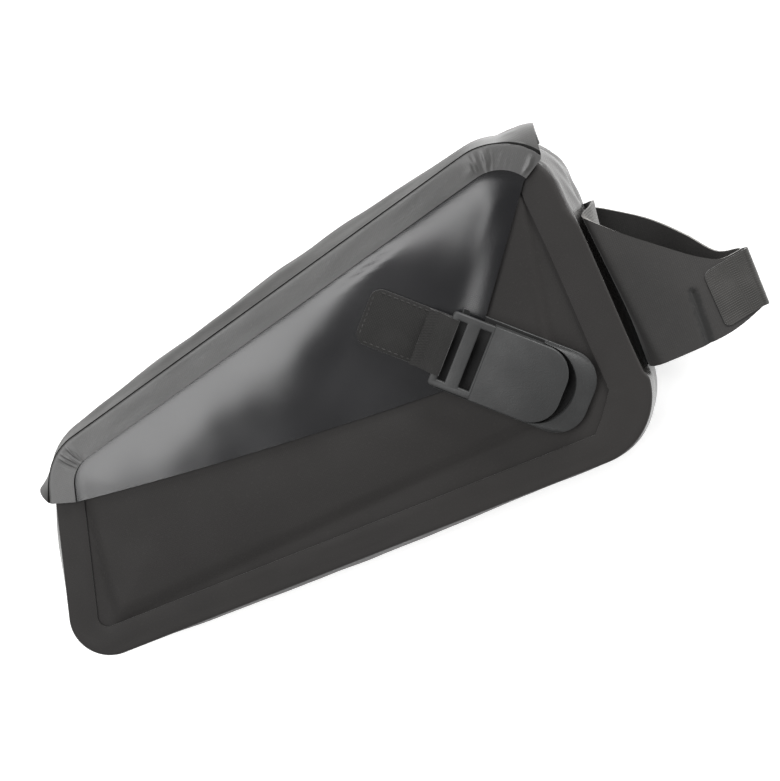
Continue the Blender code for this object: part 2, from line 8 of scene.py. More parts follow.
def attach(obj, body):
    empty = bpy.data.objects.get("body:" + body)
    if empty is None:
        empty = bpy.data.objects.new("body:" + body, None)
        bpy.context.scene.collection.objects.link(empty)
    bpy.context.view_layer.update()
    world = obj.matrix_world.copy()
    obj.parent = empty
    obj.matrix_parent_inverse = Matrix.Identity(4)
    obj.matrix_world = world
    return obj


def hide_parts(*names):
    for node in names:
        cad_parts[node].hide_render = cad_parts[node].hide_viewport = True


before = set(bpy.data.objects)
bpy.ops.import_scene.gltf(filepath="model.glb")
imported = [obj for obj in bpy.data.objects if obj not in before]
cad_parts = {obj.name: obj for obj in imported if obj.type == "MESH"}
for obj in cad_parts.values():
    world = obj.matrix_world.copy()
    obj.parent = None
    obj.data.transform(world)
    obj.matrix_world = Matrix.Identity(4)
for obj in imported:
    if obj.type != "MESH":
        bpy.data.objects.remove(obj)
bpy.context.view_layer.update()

print("frame loaded")

# the bag's outline in its own flat frame, metres: sharp corners from the lower left, then round
bag = {
    "origin": (-0.16749, -0.06925, 0.0),
    "corners": ((0.0, 0.0), (0.276, 0.0), (0.268, 0.147), (0.0284, 0.0903)),
    "radii": (0.017, 0.030, 0.0265, 0.0235),
    "depth": 0.050,
    "layer": 0.0015,  # one cloth and the air over it
    "bulge": 0.0049,
    # how much of the bulge each corner starts and ends with, going round
    "bodyBulges": ((0.55, 0.55), (0.55, 0.55), (1.0, 0.30), (0.50, 0.50)),
    "flapBulges": ((0.55, 0.55), (0.55, 0.55), (0.30, 0.30), (0.50, 0.50)),
    "bulgeFade": 0.6,
    "rims": {"band": 0.011, "left": 0.0124, "bottom": 0.013, "right": 0.016},
    "arcSteps": 66,
    "squared": (0.0, 0.9, 0.0, 0.0),  # how far the rim's inner edge is cut straight at each corner
    "spacing": 0.0025,
}


# 0 to 1 with soft ends
def ease(share):
    held = min(max(share, 0.0), 1.0)
    return held * held * (3 - 2 * held)


def bell(distance, reach):
    return math.exp(-(distance / reach) ** 2)


# soft random numbers, the same each run
def wobble(x, y, seed):
    return noise.noise(Vector((x, y, seed)))


def sideways(direction):
    return Vector((direction.y, -direction.x))


# distance from a flat line and the share along it
def nearLine(point, start, end):
    start, end = Vector(start), Vector(end)
    run = end - start
    share = min(max((point - start).dot(run) / run.length_squared, 0.0), 1.0)
    return (point - start - run * share).length, share


def finishPiece(name, bm, material, nodes=(), sharpAngle=None):
    bmesh.ops.translate(bm, verts=bm.verts, vec=Vector(bag["origin"]))
    for face in bm.faces:
        face.smooth = True
    for edge in bm.edges:
        edge.smooth = not edge.is_boundary  # a crisp cut edge
    mesh = bpy.data.meshes.new(name)
    bm.to_mesh(mesh)
    bm.free()
    if sharpAngle:
        mesh.set_sharp_from_angle(angle=math.radians(sharpAngle))
    mesh.materials.append(material)
    piece = bpy.data.objects.new(name, mesh)
    bpy.context.scene.collection.objects.link(piece)
    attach(piece, "root")
    if nodes:
        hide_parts(*nodes)
    return piece


def giveThickness(piece, thickness, offset=-1.0):
    solid = piece.modifiers.new("thickness", "SOLIDIFY")
    solid.thickness = thickness
    solid.offset = offset
    solid.use_even_offset = False
    return solid


# points on a smooth curve through a few, with so many steps to each gap
def curveThrough(points, steps):
    ends = [points[0] * 2 - points[1]] + points + [points[-1] * 2 - points[-2]]
    curve = []
    for before, start, end, after in zip(ends, ends[1:], ends[2:], ends[3:]):
        for step in range(steps):
            t = step / steps
            square = 2 * before - 5 * start + 4 * end - after
            cube = 3 * start - before - 3 * end + after
            curve.append(0.5 * (2 * start + (end - before) * t + square * t * t + cube * t ** 3))
    return curve + [points[-1]]


# a grid whose vertices go to placeAt(i, j); weaveAt(i, j) gives metres along and across for the weave
def clothGrid(columns, rows, placeAt, weaveAt):
    bm = bmesh.new()
    bmesh.ops.create_grid(bm, x_segments=columns, y_segments=rows, size=1)
    weave = bm.loops.layers.uv.new("weave")
    spots = {}
    for vert in bm.verts:
        spot = (round((vert.co.x + 1) / 2 * columns), round((vert.co.y + 1) / 2 * rows))
        spots[vert] = spot
        vert.co = placeAt(*spot)
    for face in bm.faces:
        for loop in face.loops:
            loop[weave].uv = weaveAt(*spots[loop.vert])
    return bm


# one mesh added to another
def joinInto(bm, extra):
    mesh = bpy.data.meshes.new("joined")
    extra.to_mesh(mesh)
    extra.free()
    bm.from_mesh(mesh)
    bpy.data.meshes.remove(mesh)


def raiseFaces(bm, height):
    raised = bmesh.ops.extrude_face_region(bm, geom=bm.faces[:])
    lifted = [item for item in raised["geom"] if isinstance(item, bmesh.types.BMVert)]
    bmesh.ops.translate(bm, verts=lifted, vec=(0, 0, height))
    bmesh.ops.recalc_face_normals(bm, faces=bm.faces)


def isLevel(edge):
    return abs(edge.verts[0].co.z - edge.verts[1].co.z) < 1e-6


def roundEdges(bm, edges, width, segments=3):
    bmesh.ops.bevel(bm, geom=edges, offset=width, segments=segments, profile=0.5, affect="EDGES", material=-1)


def roundCorners(bm, corners, radius, segments):
    bmesh.ops.bevel(bm, geom=corners, offset=radius, segments=segments, profile=0.5, affect="VERTICES",
                    material=-1)


# a flat outline filled, cut along a fine grid and lifted
def panelGrid(outline, spacing, lift):
    bm = bmesh.new()
    bm.faces.new([bm.verts.new((point.x, point.y, 0)) for point in outline])
    for axis in (0, 1):
        low = min(point[axis] for point in outline)
        high = max(point[axis] for point in outline)
        count = round((high - low) / spacing)
        across = Vector((1.0 - axis, float(axis), 0.0))
        for step in range(1, count):
            everything = bm.verts[:] + bm.edges[:] + bm.faces[:]
            cut = across * (low + (high - low) * step / count)
            bmesh.ops.bisect_plane(bm, geom=everything, dist=0.00001, plane_co=cut, plane_no=across)
    for vert in bm.verts:
        vert.co.z = lift(vert.co.xy)
    bmesh.ops.recalc_face_normals(bm, faces=bm.faces)
    if sum(face.normal.z for face in bm.faces) < 0:
        bmesh.ops.reverse_faces(bm, faces=bm.faces)
    return bm


# the outline is a list of stations: place, outward normal, rim width and share of the bulge
def cornerArc(index, rimBefore=0.0, rimAfter=0.0, bulges=bag["bodyBulges"]):
    corners = [Vector(corner) for corner in bag["corners"]]
    corner = corners[index]
    before = (corner - corners[index - 1]).normalized()
    after = (corners[(index + 1) % 4] - corner).normalized()
    turn = before.angle(after)
    radius = bag["radii"][index]
    centre = corner - before * radius * math.tan(turn / 2) - sideways(before) * radius
    arc = []
    for step in range(bag["arcSteps"] + 1):
        share = step / bag["arcSteps"]
        normal = sideways(before)
        normal.rotate(Matrix.Rotation(turn * share, 2))
        rim = rimBefore + (rimAfter - rimBefore) * share
        cut = 1 - math.cos(turn / 2) / math.cos(turn * (share - 0.5))
        rim += (radius - rim) * cut * bag["squared"][index] * (rim > 0)
        start, end = bulges[index]
        bulge = start + (end - start) * ease(share / bag["bulgeFade"])
        arc.append({"at": centre + normal * radius, "normal": normal, "rim": rim, "bulge": bulge,
                    "corner": index, "turn": share})
    return arc


def sideBulge(before, after, share):
    level = before + (after - before) * share
    return level + (1 - level) * math.sin(math.pi * share)


def sideRun(start, end):
    run = end["at"] - start["at"]
    count = round(run.length / bag["spacing"])
    stations = []
    for step in range(1, count):
        share = step / count
        bulge = sideBulge(start["bulge"], end["bulge"], share)
        stations.append(dict(start, at=start["at"] + run * share, bulge=bulge, corner=None, turn=share))
    return stations


def outlinePath(order, rims, bulges):
    path = []
    for place, index in enumerate(order):
        arc = cornerArc(index, rims[place], rims[place + 1], bulges)
        if path:
            path += sideRun(path[-1], arc[0])
        path += arc
    return path


def runLengths(path):
    lengths = [0.0]
    for before, after in zip(path, path[1:]):
        lengths.append(lengths[-1] + (after["at"] - before["at"]).length)
    return lengths


rims = bag["rims"]
bodyRims = (rims["band"], rims["left"], rims["bottom"], rims["right"], rims["band"])
bodyPath = outlinePath((3, 0, 1, 2), bodyRims, bag["bodyBulges"])
faceLine = [station["at"] - station["normal"] * station["rim"] for station in bodyPath]


def insideEdges(outline):
    edges = []
    for before, after in zip(outline, outline[1:] + outline[:1]):
        if (after - before).length > 0.00001:
            edges.append((before, -sideways((after - before).normalized())))
    return edges


faceEdges = insideEdges(faceLine)


def depthInside(point, edges):
    return min((point - at).dot(inward) for at, inward in edges)


# lengths along the buckle run from the plate's near edge
buckle = {
    "at": (0.2129, 0.0600),
    "angle": -43.5,
    "halfWidth": 0.0164,
    "rail": 0.003,
    "nearBar": 0.0032,
    "nearSlot": 0.0036,
    "centreBar": 0.0058,
    "farSlot": 0.0048,
    "lip": 0.0006,
    "plateLength": 0.0357,
    "plateRadius": 0.012,
    "barBottom": 0.0567,
    "thickness": 0.0034,
    "plateBottom": 0.0538,
    "baseLength": 0.048,
    "baseHalfWidth": 0.0178,
    "baseRadius": 0.013,
    "baseBottom": 0.0515,
    "baseThickness": 0.002,
    "collarGap": 0.0044,
    "collarStart": 0.021,
    "collarHeight": 0.0044,
    "collarCrest": 0.0012,
    "plateProud": 0.0004,  # how far the plate stands above the frame
    "plateEdge": 0.0007,
    "frameCorner": 0.0016,
    "frameEdge": 0.0006,
    "baseEdge": 0.0005,
    "air": 0.0003,
    "patchLength": 0.0345,
    "seatBlend": 0.026,  # how soon the cloth turns from flat seat to dome
}
buckle["frame"] = sum(buckle[part] for part in ("nearBar", "nearSlot", "centreBar", "farSlot", "lip"))
buckleMatrix = (Matrix.Translation((buckle["at"][0], buckle["at"][1], 0))
                @ Matrix.Rotation(math.radians(buckle["angle"]), 4, "Z"))


# 1 under the buckle and its patch, 0 out on the dome
def seatShare(point):
    place = buckleMatrix.inverted() @ Vector((point.x, point.y, 0))
    along = max(-place.x - buckle["frame"] - buckle["patchLength"], place.x - buckle["baseLength"], 0.0)
    across = max(abs(place.y) - buckle["baseHalfWidth"], 0.0)
    return 1.0 - ease(math.hypot(along, across) / buckle["seatBlend"])


def startMaterial(name):
    material = bpy.data.materials.new(name)
    material.use_nodes = True
    return material, material.node_tree, material.node_tree.nodes["Principled BSDF"]


# each input is linked where its value is a socket, and set where it is a number or a colour
def feed(tree, node, inputs):
    for name, value in inputs.items():
        if isinstance(value, bpy.types.NodeSocket):
            tree.links.new(value, node.inputs[name])
        else:
            node.inputs[name].default_value = (*value, 1.0) if isinstance(value, tuple) else value


def noiseFrom(tree, coordinates, scale, detail=3.0, roughness=0.5):
    made = tree.nodes.new("ShaderNodeTexNoise")
    feed(tree, made, {"Vector": coordinates, "Scale": scale, "Detail": detail, "Roughness": roughness})
    return made.outputs["Fac"]


def waveFrom(tree, coordinates, scale, direction, distortion):
    made = tree.nodes.new("ShaderNodeTexWave")
    made.wave_type = "BANDS"
    made.bands_direction = direction
    feed(tree, made, {"Vector": coordinates, "Scale": scale, "Distortion": distortion, "Detail": 1.0})
    return made.outputs["Fac"]


def multiply(tree, first, second):
    made = tree.nodes.new("ShaderNodeMath")
    made.operation = "MULTIPLY"
    feed(tree, made, {0: first, 1: second})
    return made.outputs[0]


def rangeFrom(tree, value, fromLow, fromHigh, toLow, toHigh):
    made = tree.nodes.new("ShaderNodeMapRange")
    feed(tree, made, {"Value": value, "From Min": fromLow, "From Max": fromHigh,
                      "To Min": toLow, "To Max": toHigh})
    return made.outputs["Result"]


def blendColours(tree, share, first, second):
    made = tree.nodes.new("ShaderNodeMix")
    made.data_type = "RGBA"
    feed(tree, made, {0: share, 6: first, 7: second})
    return made.outputs[2]


def bumpFrom(tree, height, strength, distance, under=None):
    made = tree.nodes.new("ShaderNodeBump")
    feed(tree, made, {"Height": height, "Strength": strength, "Distance": distance})
    if under:
        feed(tree, made, {"Normal": under})
    return made.outputs["Normal"]


def attributeFrom(tree, name):
    made = tree.nodes.new("ShaderNodeAttribute")
    made.attribute_name = name
    return made.outputs["Fac"]


def objectCoordinates(tree):
    return tree.nodes.new("ShaderNodeTexCoord").outputs["Object"]


# coated cloth: cloudy tone, a fine pebble grain and the weave just showing through the coating
def clothMaterial(name, look, darkening=None, shine=None):
    material, tree, shader = startMaterial(name)
    coords = objectCoordinates(tree)
    clouds = noiseFrom(tree, coords, look["cloudScale"], 4.0, 0.55)
    share = rangeFrom(tree, clouds, 0.35, 0.65, 0.0, 1.0)
    tone = blendColours(tree, share, look["dark"], look["light"])
    specks = noiseFrom(tree, coords, look["grainScale"], 2.0)
    speckShare = rangeFrom(tree, specks, 0.58, 0.75, 0.0, look["speck"])
    tone = blendColours(tree, speckShare, tone, look["speckColour"])
    # darker along a marked band with a ragged edge, such as the strap's pressed mark
    if darkening:
        ragged = noiseFrom(tree, coords, look["darkeningScale"], 3.0, 0.6)
        share = multiply(tree, attributeFrom(tree, darkening), ragged)
        share = rangeFrom(tree, share, 0.12, 0.26, 0.0, look["darkening"])
        tone = blendColours(tree, share, tone, look["darkeningColour"])
    smudges = noiseFrom(tree, coords, look["cloudScale"] * 2.3, 3.0)
    rough = rangeFrom(tree, smudges, 0.3, 0.7, look["roughLow"], look["roughHigh"])
    gloss = look["gloss"]
    if shine:
        mask = attributeFrom(tree, shine)
        rough = rangeFrom(tree, mask, 0.0, 1.0, rough, look["shineRough"])
        gloss = rangeFrom(tree, mask, 0.0, 1.0, gloss, look["shineGloss"])
    warp = waveFrom(tree, coords, look["weaveScale"], "X", 0.4)
    weft = waveFrom(tree, coords, look["weaveScale"], "Y", 0.4)
    normal = bumpFrom(tree, multiply(tree, warp, weft), look["weaveBump"], 0.0002)
    normal = bumpFrom(tree, specks, look["grainBump"], 0.0003, normal)
    feed(tree, shader, {"Base Color": tone, "Roughness": rough, "Normal": normal, "Specular IOR Level": gloss,
                        "Sheen Weight": look["sheen"], "Sheen Roughness": 0.5})
    return material


# woven webbing: ribs along its length, crossed by fine picks, a little fuzz
def webbingMaterial(name, look):
    material, tree, shader = startMaterial(name)
    weave = tree.nodes.new("ShaderNodeUVMap")
    weave.uv_map = "weave"
    coords = weave.outputs["UV"]
    ribs = waveFrom(tree, coords, look["ribScale"], "Y", 0.15)
    picks = waveFrom(tree, coords, look["pickScale"], "DIAGONAL", 0.3)
    threads = multiply(tree, ribs, picks)
    fuzz = noiseFrom(tree, objectCoordinates(tree), 2600.0, 2.0)
    clouds = noiseFrom(tree, objectCoordinates(tree), 60.0, 3.0)
    share = rangeFrom(tree, threads, 0.05, 0.7, 0.0, 1.0)
    tone = blendColours(tree, share, look["dark"], look["light"])
    worn = rangeFrom(tree, clouds, 0.45, 0.75, 0.0, 0.35)
    tone = blendColours(tree, worn, tone, look["worn"])
    rough = rangeFrom(tree, fuzz, 0.3, 0.7, 0.72, 0.92)
    normal = bumpFrom(tree, threads, look["bump"], 0.0004)
    normal = bumpFrom(tree, fuzz, 0.35, 0.0002, normal)
    feed(tree, shader, {"Base Color": tone, "Roughness": rough, "Normal": normal, "Specular IOR Level": 0.25,
                        "Sheen Weight": look["sheen"], "Sheen Roughness": 0.45})
    return material


# moulded plastic with a spark-eroded grain, rubbed a little smoother in patches
def plasticMaterial(name, look):
    material, tree, shader = startMaterial(name)
    coords = objectCoordinates(tree)
    grain = noiseFrom(tree, coords, 1500.0, 3.0, 0.6)
    pits = noiseFrom(tree, coords, 420.0, 2.0)
    rubbed = noiseFrom(tree, coords, 70.0, 3.0)
    share = rangeFrom(tree, rubbed, 0.35, 0.7, 0.0, 1.0)
    tone = blendColours(tree, share, look["dark"], look["light"])
    rough = rangeFrom(tree, rubbed, 0.3, 0.7, look["roughHigh"], look["roughLow"])
    normal = bumpFrom(tree, grain, look["grainBump"], 0.0002)
    normal = bumpFrom(tree, pits, look["grainBump"] * 0.5, 0.0002, normal)
    feed(tree, shader, {"Base Color": tone, "Roughness": rough, "Normal": normal, "Specular IOR Level": 0.5})
    return material


# a matte coated cloth, which each look below changes in part
coated = {
    "dark": (0.0142, 0.0128, 0.0122), "light": (0.0200, 0.0182, 0.0172), "cloudScale": 9.0,
    "speckColour": (0.033, 0.031, 0.029), "speck": 0.25, "grainScale": 1100.0, "grainBump": 0.14,
    "weaveScale": 420.0, "weaveBump": 0.10, "roughLow": 0.56, "roughHigh": 0.70, "gloss": 0.30, "sheen": 0.08,
}
looks = {
    "face": coated,
    "flap": {**coated, "dark": (0.0085, 0.0085, 0.0095), "light": (0.012, 0.012, 0.0132), "cloudScale": 8.0,
             "speckColour": (0.03, 0.03, 0.032), "speck": 0.15, "grainScale": 1400.0, "grainBump": 0.06,
             "weaveBump": 0.05, "roughLow": 0.20, "roughHigh": 0.25, "gloss": 0.55, "sheen": 0.0},
    "wall": {**coated, "cloudScale": 12.0, "grainBump": 0.12, "shineRough": 0.27, "shineGloss": 0.80},
    "flapWall": {**coated, "dark": (0.031, 0.0303, 0.0295), "light": (0.046, 0.045, 0.0438),
                 "cloudScale": 20.0, "speckColour": (0.07, 0.069, 0.067), "speck": 0.2,
                 "grainScale": 1000.0, "grainBump": 0.10, "roughLow": 0.38, "roughHigh": 0.5, "gloss": 0.03,
                 "sheen": 0.05, "shineRough": 0.30, "shineGloss": 0.14},
    "band": {**coated, "dark": (0.035, 0.0344, 0.0338), "light": (0.052, 0.051, 0.05), "cloudScale": 14.0,
             "speckColour": (0.08, 0.079, 0.077), "grainScale": 1000.0, "grainBump": 0.12,
             "roughLow": 0.38, "roughHigh": 0.48, "gloss": 0.75, "sheen": 0.12},
    "strap": {**coated, "dark": (0.016, 0.0152, 0.0145), "light": (0.023, 0.0215, 0.0205), "cloudScale": 22.0,
              "speckColour": (0.04, 0.038, 0.036), "speck": 0.3, "grainScale": 1200.0, "grainBump": 0.2,
              "weaveScale": 380.0, "weaveBump": 0.18, "roughLow": 0.66, "roughHigh": 0.8, "gloss": 0.4,
              "sheen": 0.2, "darkening": 0.85, "darkeningScale": 420.0, "darkeningColour": (0.004, 0.0039, 0.0037)},
    "cutEdge": {**coated, "dark": (0.10, 0.096, 0.091), "light": (0.16, 0.154, 0.147), "cloudScale": 60.0,
                "speckColour": (0.14, 0.135, 0.13), "speck": 0.4, "grainScale": 1500.0, "grainBump": 0.3,
                "weaveScale": 600.0, "weaveBump": 0.2, "roughLow": 0.7, "roughHigh": 0.85, "sheen": 0.2},
    # painted shade: a near-black cloth for a strip along the band's outer fold, standing in for the shadow
    # line there
    "foldShade": {**coated, "dark": (0.005, 0.005, 0.0049), "light": (0.010, 0.0098, 0.0096), "cloudScale": 60.0,
             "speckColour": (0.02, 0.02, 0.02), "speck": 0.1, "grainScale": 1200.0, "grainBump": 0.1,
             "roughLow": 0.7, "roughHigh": 0.85, "gloss": 0.05, "sheen": 0.0},
    "webbing": {"dark": (0.014, 0.0135, 0.013), "light": (0.024, 0.0235, 0.0225),
                "worn": (0.032, 0.031, 0.03), "ribScale": 520.0, "pickScale": 520.0, "bump": 0.3,
                "sheen": 0.25},
    "tab": {"dark": (0.029, 0.028, 0.0265), "light": (0.050, 0.0485, 0.0455), "worn": (0.072, 0.069, 0.066),
            "ribScale": 330.0, "pickScale": 700.0, "bump": 0.4, "sheen": 0.35},
    "root": {"dark": (0.06, 0.058, 0.056), "light": (0.13, 0.127, 0.122), "worn": (0.16, 0.157, 0.152),
             "ribScale": 330.0, "pickScale": 700.0, "bump": 0.4, "sheen": 0.3},
    "thread": {"dark": (0.035, 0.034, 0.033), "light": (0.075, 0.073, 0.07), "worn": (0.10, 0.098, 0.095),
               "ribScale": 900.0, "pickScale": 900.0, "bump": 0.2, "sheen": 0.2},
    "plastic": {"dark": (0.019, 0.0195, 0.0197), "light": (0.028, 0.0285, 0.0285),
                "roughLow": 0.46, "roughHigh": 0.58, "grainBump": 0.45},
    # painted shadow: a near-black plastic for the buckle slab's top under the slots and the collar's crescent
    "hollow": {"dark": (0.002, 0.002, 0.002), "light": (0.003, 0.003, 0.003),
               "roughLow": 0.8, "roughHigh": 0.9, "grainBump": 0.1},
}
faceCloth = clothMaterial("faceCloth", looks["face"])
flapCloth = clothMaterial("flapCloth", looks["flap"])
wallCloth = clothMaterial("wallCloth", looks["wall"], shine="shine")
flapWallCloth = clothMaterial("flapWallCloth", looks["flapWall"], shine="shine")
bandCloth = clothMaterial("bandCloth", looks["band"])
strapCloth = clothMaterial("strapCloth", looks["strap"], darkening="pressed")
cutEdge = clothMaterial("cutEdge", looks["cutEdge"])
# painted shade for the strip along the fold of the flap's wall
paintedFoldShade = clothMaterial("paintedFoldShade", looks["foldShade"])
webbingWeave = webbingMaterial("webbingWeave", looks["webbing"])
tabWeave = webbingMaterial("tabWeave", looks["tab"])
rootWeave = webbingMaterial("rootWeave", looks["root"])
threadWeave = webbingMaterial("threadWeave", looks["thread"])
bucklePlastic = plasticMaterial("bucklePlastic", looks["plastic"])
# a near-black plastic that paints the shade under the buckle's slots and collar
paintedShadowPlastic = plasticMaterial("paintedShadowPlastic", looks["hollow"])
print("materials made")


# the front face: a dome inside the rim, a flat seat under the buckle, soft dents and creases
panel = {
    "spacing": 0.0019,
    "thickness": 0.0008,
    "tuck": 0.0012,  # how far the edge lies under the rim's level
    "crown": 0.0028,
    "crownReach": 0.031,
    "undulation": 0.00025,
    "undulationFrom": 0.015,
    "seat": 0.0012,
    "seatRise": 0.0035,
    "rise": 0.0030,  # how far in from the rim the edge comes up, and at the bottom
    "bottomRise": 0.0052,
    "bottom": (0.030, 0.012),  # below this y, over this length
    # x, y, reach, share of the dome taken off
    "dents": ((0.047, 0.044, 0.033, 0.45), (0.138, 0.029, 0.036, 0.30), (0.171, 0.097, 0.033, 0.15),
              (0.110, 0.073, 0.017, 0.17), (0.213, 0.105, 0.016, 0.19)),
    "creases": (
        # from, to, half width, depth
        ((0.2425, 0.0585), (0.2580, 0.0445), 0.0016, -0.0012),
        ((0.2625, 0.0530), (0.2590, 0.0440), 0.0022, 0.0016),
        ((0.2200, 0.0425), (0.2330, 0.0420), 0.0030, 0.0004),
    ),
}


# how far the dome stands above the rim's inner edge
def faceCrown(point):
    depth = depthInside(point, faceEdges)
    if depth <= 0:
        return 0.0
    rise = 1.0
    for x, y, reach, share in panel["dents"]:
        rise -= share * bell((point - Vector((x, y))).length, reach)
    seat = seatShare(point)
    domed = panel["crown"] * (1 - max(0.0, 1 - depth / panel["crownReach"]) ** 2) * rise
    loose = wobble(point.x * 26, point.y * 26, 3.0) + 0.4 * wobble(point.x * 70, point.y * 70, 7.0)
    domed += panel["undulation"] * loose * ease(depth / panel["undulationFrom"])
    return domed * (1 - seat) + panel["seat"] * ease(depth / panel["seatRise"]) * seat


def faceHeight(point):
    depth = depthInside(point, faceEdges)
    bottom, fade = panel["bottom"]
    low = ease((bottom - point.y) / fade)
    rise = panel["rise"] + (panel["bottomRise"] - panel["rise"]) * low
    lift = ease((depth + 0.0004) / rise)
    creased = 0.0
    for start, end, width, deep in panel["creases"]:
        away, share = nearLine(point, start, end)
        creased += deep * bell(away, width) * math.sin(math.pi * (0.15 + 0.7 * share))
    return bag["depth"] - panel["tuck"] * (1 - lift) + faceCrown(point) - creased * lift


outline = [station["at"] - station["normal"] * bag["layer"] for station in bodyPath]
bm = panelGrid(outline, panel["spacing"], faceHeight)
frontPanel = finishPiece("frontPanel", bm, faceCloth, ["front_panel"])
giveThickness(frontPanel, panel["thickness"])
print("front panel made")


# the back: flat cloth with its own welded rim, on which the bag lies
back = {"spacing": 0.0022, "thickness": 0.0008, "rim": 0.013, "recess": 0.0006, "rise": 0.003}


def outwardBy(distance):
    grown = []
    for index in range(4):
        for station in cornerArc(index):
            grown.append(station["at"] + station["normal"] * distance)
    return grown


backEdges = insideEdges(outwardBy(-back["rim"]))


def backHeight(point):
    return back["thickness"] + back["recess"] * ease(depthInside(point, backEdges) / back["rise"])


bm = panelGrid(outwardBy(bag["layer"]), back["spacing"], backHeight)
backPanel = finishPiece("backPanel", bm, faceCloth, ["back_panel"])
giveThickness(backPanel, back["thickness"])
print("back panel made")


# the tube strap, whose sizes the wall behind it needs too
strap = {
    "from": 0.0293,
    "width": 0.069,
    "reach": 0.0473,
    "tipWidth": 0.0256,
    "tipUp": 0.0051,
    "rootOut": 0.0034,
    "rootSpread": 0.0024,  # how much further out the lower end of the root stands
    "rootHeight": 0.84,
    "thickness": 0.0012,
    "baseLean": 0.0042,  # how far the base leans out and rises behind the upper end of the root
    "baseRise": 0.0030,
    "tabWidth": 0.025,
    "tabFrom": 0.62,
    "tabDrop": 0.0021,
    "tabRadius": 0.003,
    # out, low, high, backHigh, front, back
    "leaves": ((1.00, 1.00, 1.00, 1.00, 0.620, 0.530), (0.82, 0.45, 1.00, 0.94, 0.680, 0.455),
               (0.645, 0.13, 0.86, 0.66, 0.745, 0.360), (0.42, 0.02, 0.60, 0.36, 0.815, 0.240),
               (0.14, 0.00, 0.26, 0.10, 0.860, 0.150)),
    "levels": (0.70, 0.50, 0.30, 0.12),
    # a pressed mark on the front leaf: from, to, half width, depth
    "mark": ((0.3033, 0.0518), (0.3019, 0.0288), 0.0014, 0.0011),
    "darkeningWider": 1.7,  # how much wider than the mark its darkening is
    "frontAbove": 0.030,
    "columns": 60,
    "steps": 11,
    "wovenFrom": 0.86,  # share of the width from which the woven inside of the root shows
    "wovenDeep": 0.012,
    "tabColumns": 40,
    "tabSteps": 6,
    "tabThickness": 0.0014,
    "tabFold": 0.0018,
    "air": 0.0003,
}


# each wall is one sheet from the back panel up to a fold and in over the face as a rim
wall = {
    "thickness": 0.0009,
    "fold": 0.0013,
    "cornerFold": 0.0044,  # the rounder fold between the flap's end and the strap
    "foot": 0.0016,
    "waves": 0.0010,
    "wavesFrom": (0.015, 0.03),  # the waves begin this far along, over this length
    "calmFlare": 0.006,  # a flare this long has no waves
    "streaks": 0.0016,  # depth of the creases between the flap's end and the strap
    "hollow": (0.0042, 0.0425, 0.0050),  # drawn in over the strap's root: depth, height, reach
    "rimDraw": 0.0016,  # how far the rim is drawn in beside the strap
    "flarePower": 0.62,
    # where along x the walls turn shinier, from and to
    "shines": ((0.256, 0.268), (0.022, 0.010)),
    "flapShines": ((0.232, 0.252),),
    "sideFrom": 0.6,  # shares of the fold where the side's cloth and the painted shade strip along the fold begin and end
    "foldShade": (0.25, 0.9),
    "weave": 0.0028,
    "rows": 30,
    "foldRows": 7,
    "rimRows": 9,
}


def wallSection():
    section = [("side", row / wall["rows"]) for row in range(wall["rows"] + 1)]
    section += [("fold", row / wall["foldRows"]) for row in range(1, wall["foldRows"] + 1)]
    section += [("rim", row / wall["rimRows"]) for row in range(1, wall["rimRows"] + 1)]
    return section


# 1 on the right wall behind the strap
def strapWindow(station):
    along = (station["at"].y - strap["from"]) / strap["width"]
    return ease((along + 0.05) / 0.08) * ease((1.04 - along) / 0.08) * (station["normal"].x > 0.9)


# 1 on the wall above the strap
def cornerWindow(station):
    above = ease((station["at"].y - strap["from"] - strap["width"] + 0.003) / 0.012)
    return above * ease((station["normal"].x - 0.25) / 0.4)


def wallPoint(station, run, part, share, standoff, top, flare, relief):
    loose = cornerWindow(station)
    drawn = strapWindow(station)
    fold = wall["fold"] + (wall["cornerFold"] - wall["fold"]) * loose * (not flare.length)
    low = 1 - ease((station["at"].y - strap["from"]) / strap["width"])
    standoff = standoff - wall["rimDraw"] * drawn * low
    if part == "side":
        height = wall["foot"] + (top - fold - wall["foot"]) * share
        middle = math.sin(math.pi * share)
        calm = max(0.0, 1 - flare.length / wall["calmFlare"])
        wavesStart, wavesOver = wall["wavesFrom"]
        waves = wobble(run * 16, height * 75, 4.0) + 0.5 * wobble(run * 60, height * 60, 9.0)
        streaks = wobble(run * 55 + height * 40, height * 210 - run * 60, 5.0)
        hollow, hollowAt, hollowReach = wall["hollow"]
        out = standoff + bag["bulge"] * station["bulge"] * middle
        out += wall["waves"] * waves * calm * middle * ease((run - wavesStart) / wavesOver)
        out += wall["streaks"] * streaks * loose * calm * middle
        out -= hollow * drawn * bell(height - hollowAt, hollowReach)
    elif part == "fold":
        turn = math.pi / 2 * share
        height = top - fold + fold * math.sin(turn)
        out = standoff - fold + fold * math.cos(turn)
        out += 0.0004 * loose * math.cos(turn) * wobble(run * 300, share * 3, 8.0)
    else:
        reach = fold + (station["rim"] - fold) * share
        height = top + relief(station, run, share)
        out = standoff - reach
    flared = max(math.sin(math.pi * min(height / top, 1.0)), 0.0) ** wall["flarePower"]
    flat = station["at"] + station["normal"] * out + flare * flared
    return Vector((flat.x, flat.y, height))
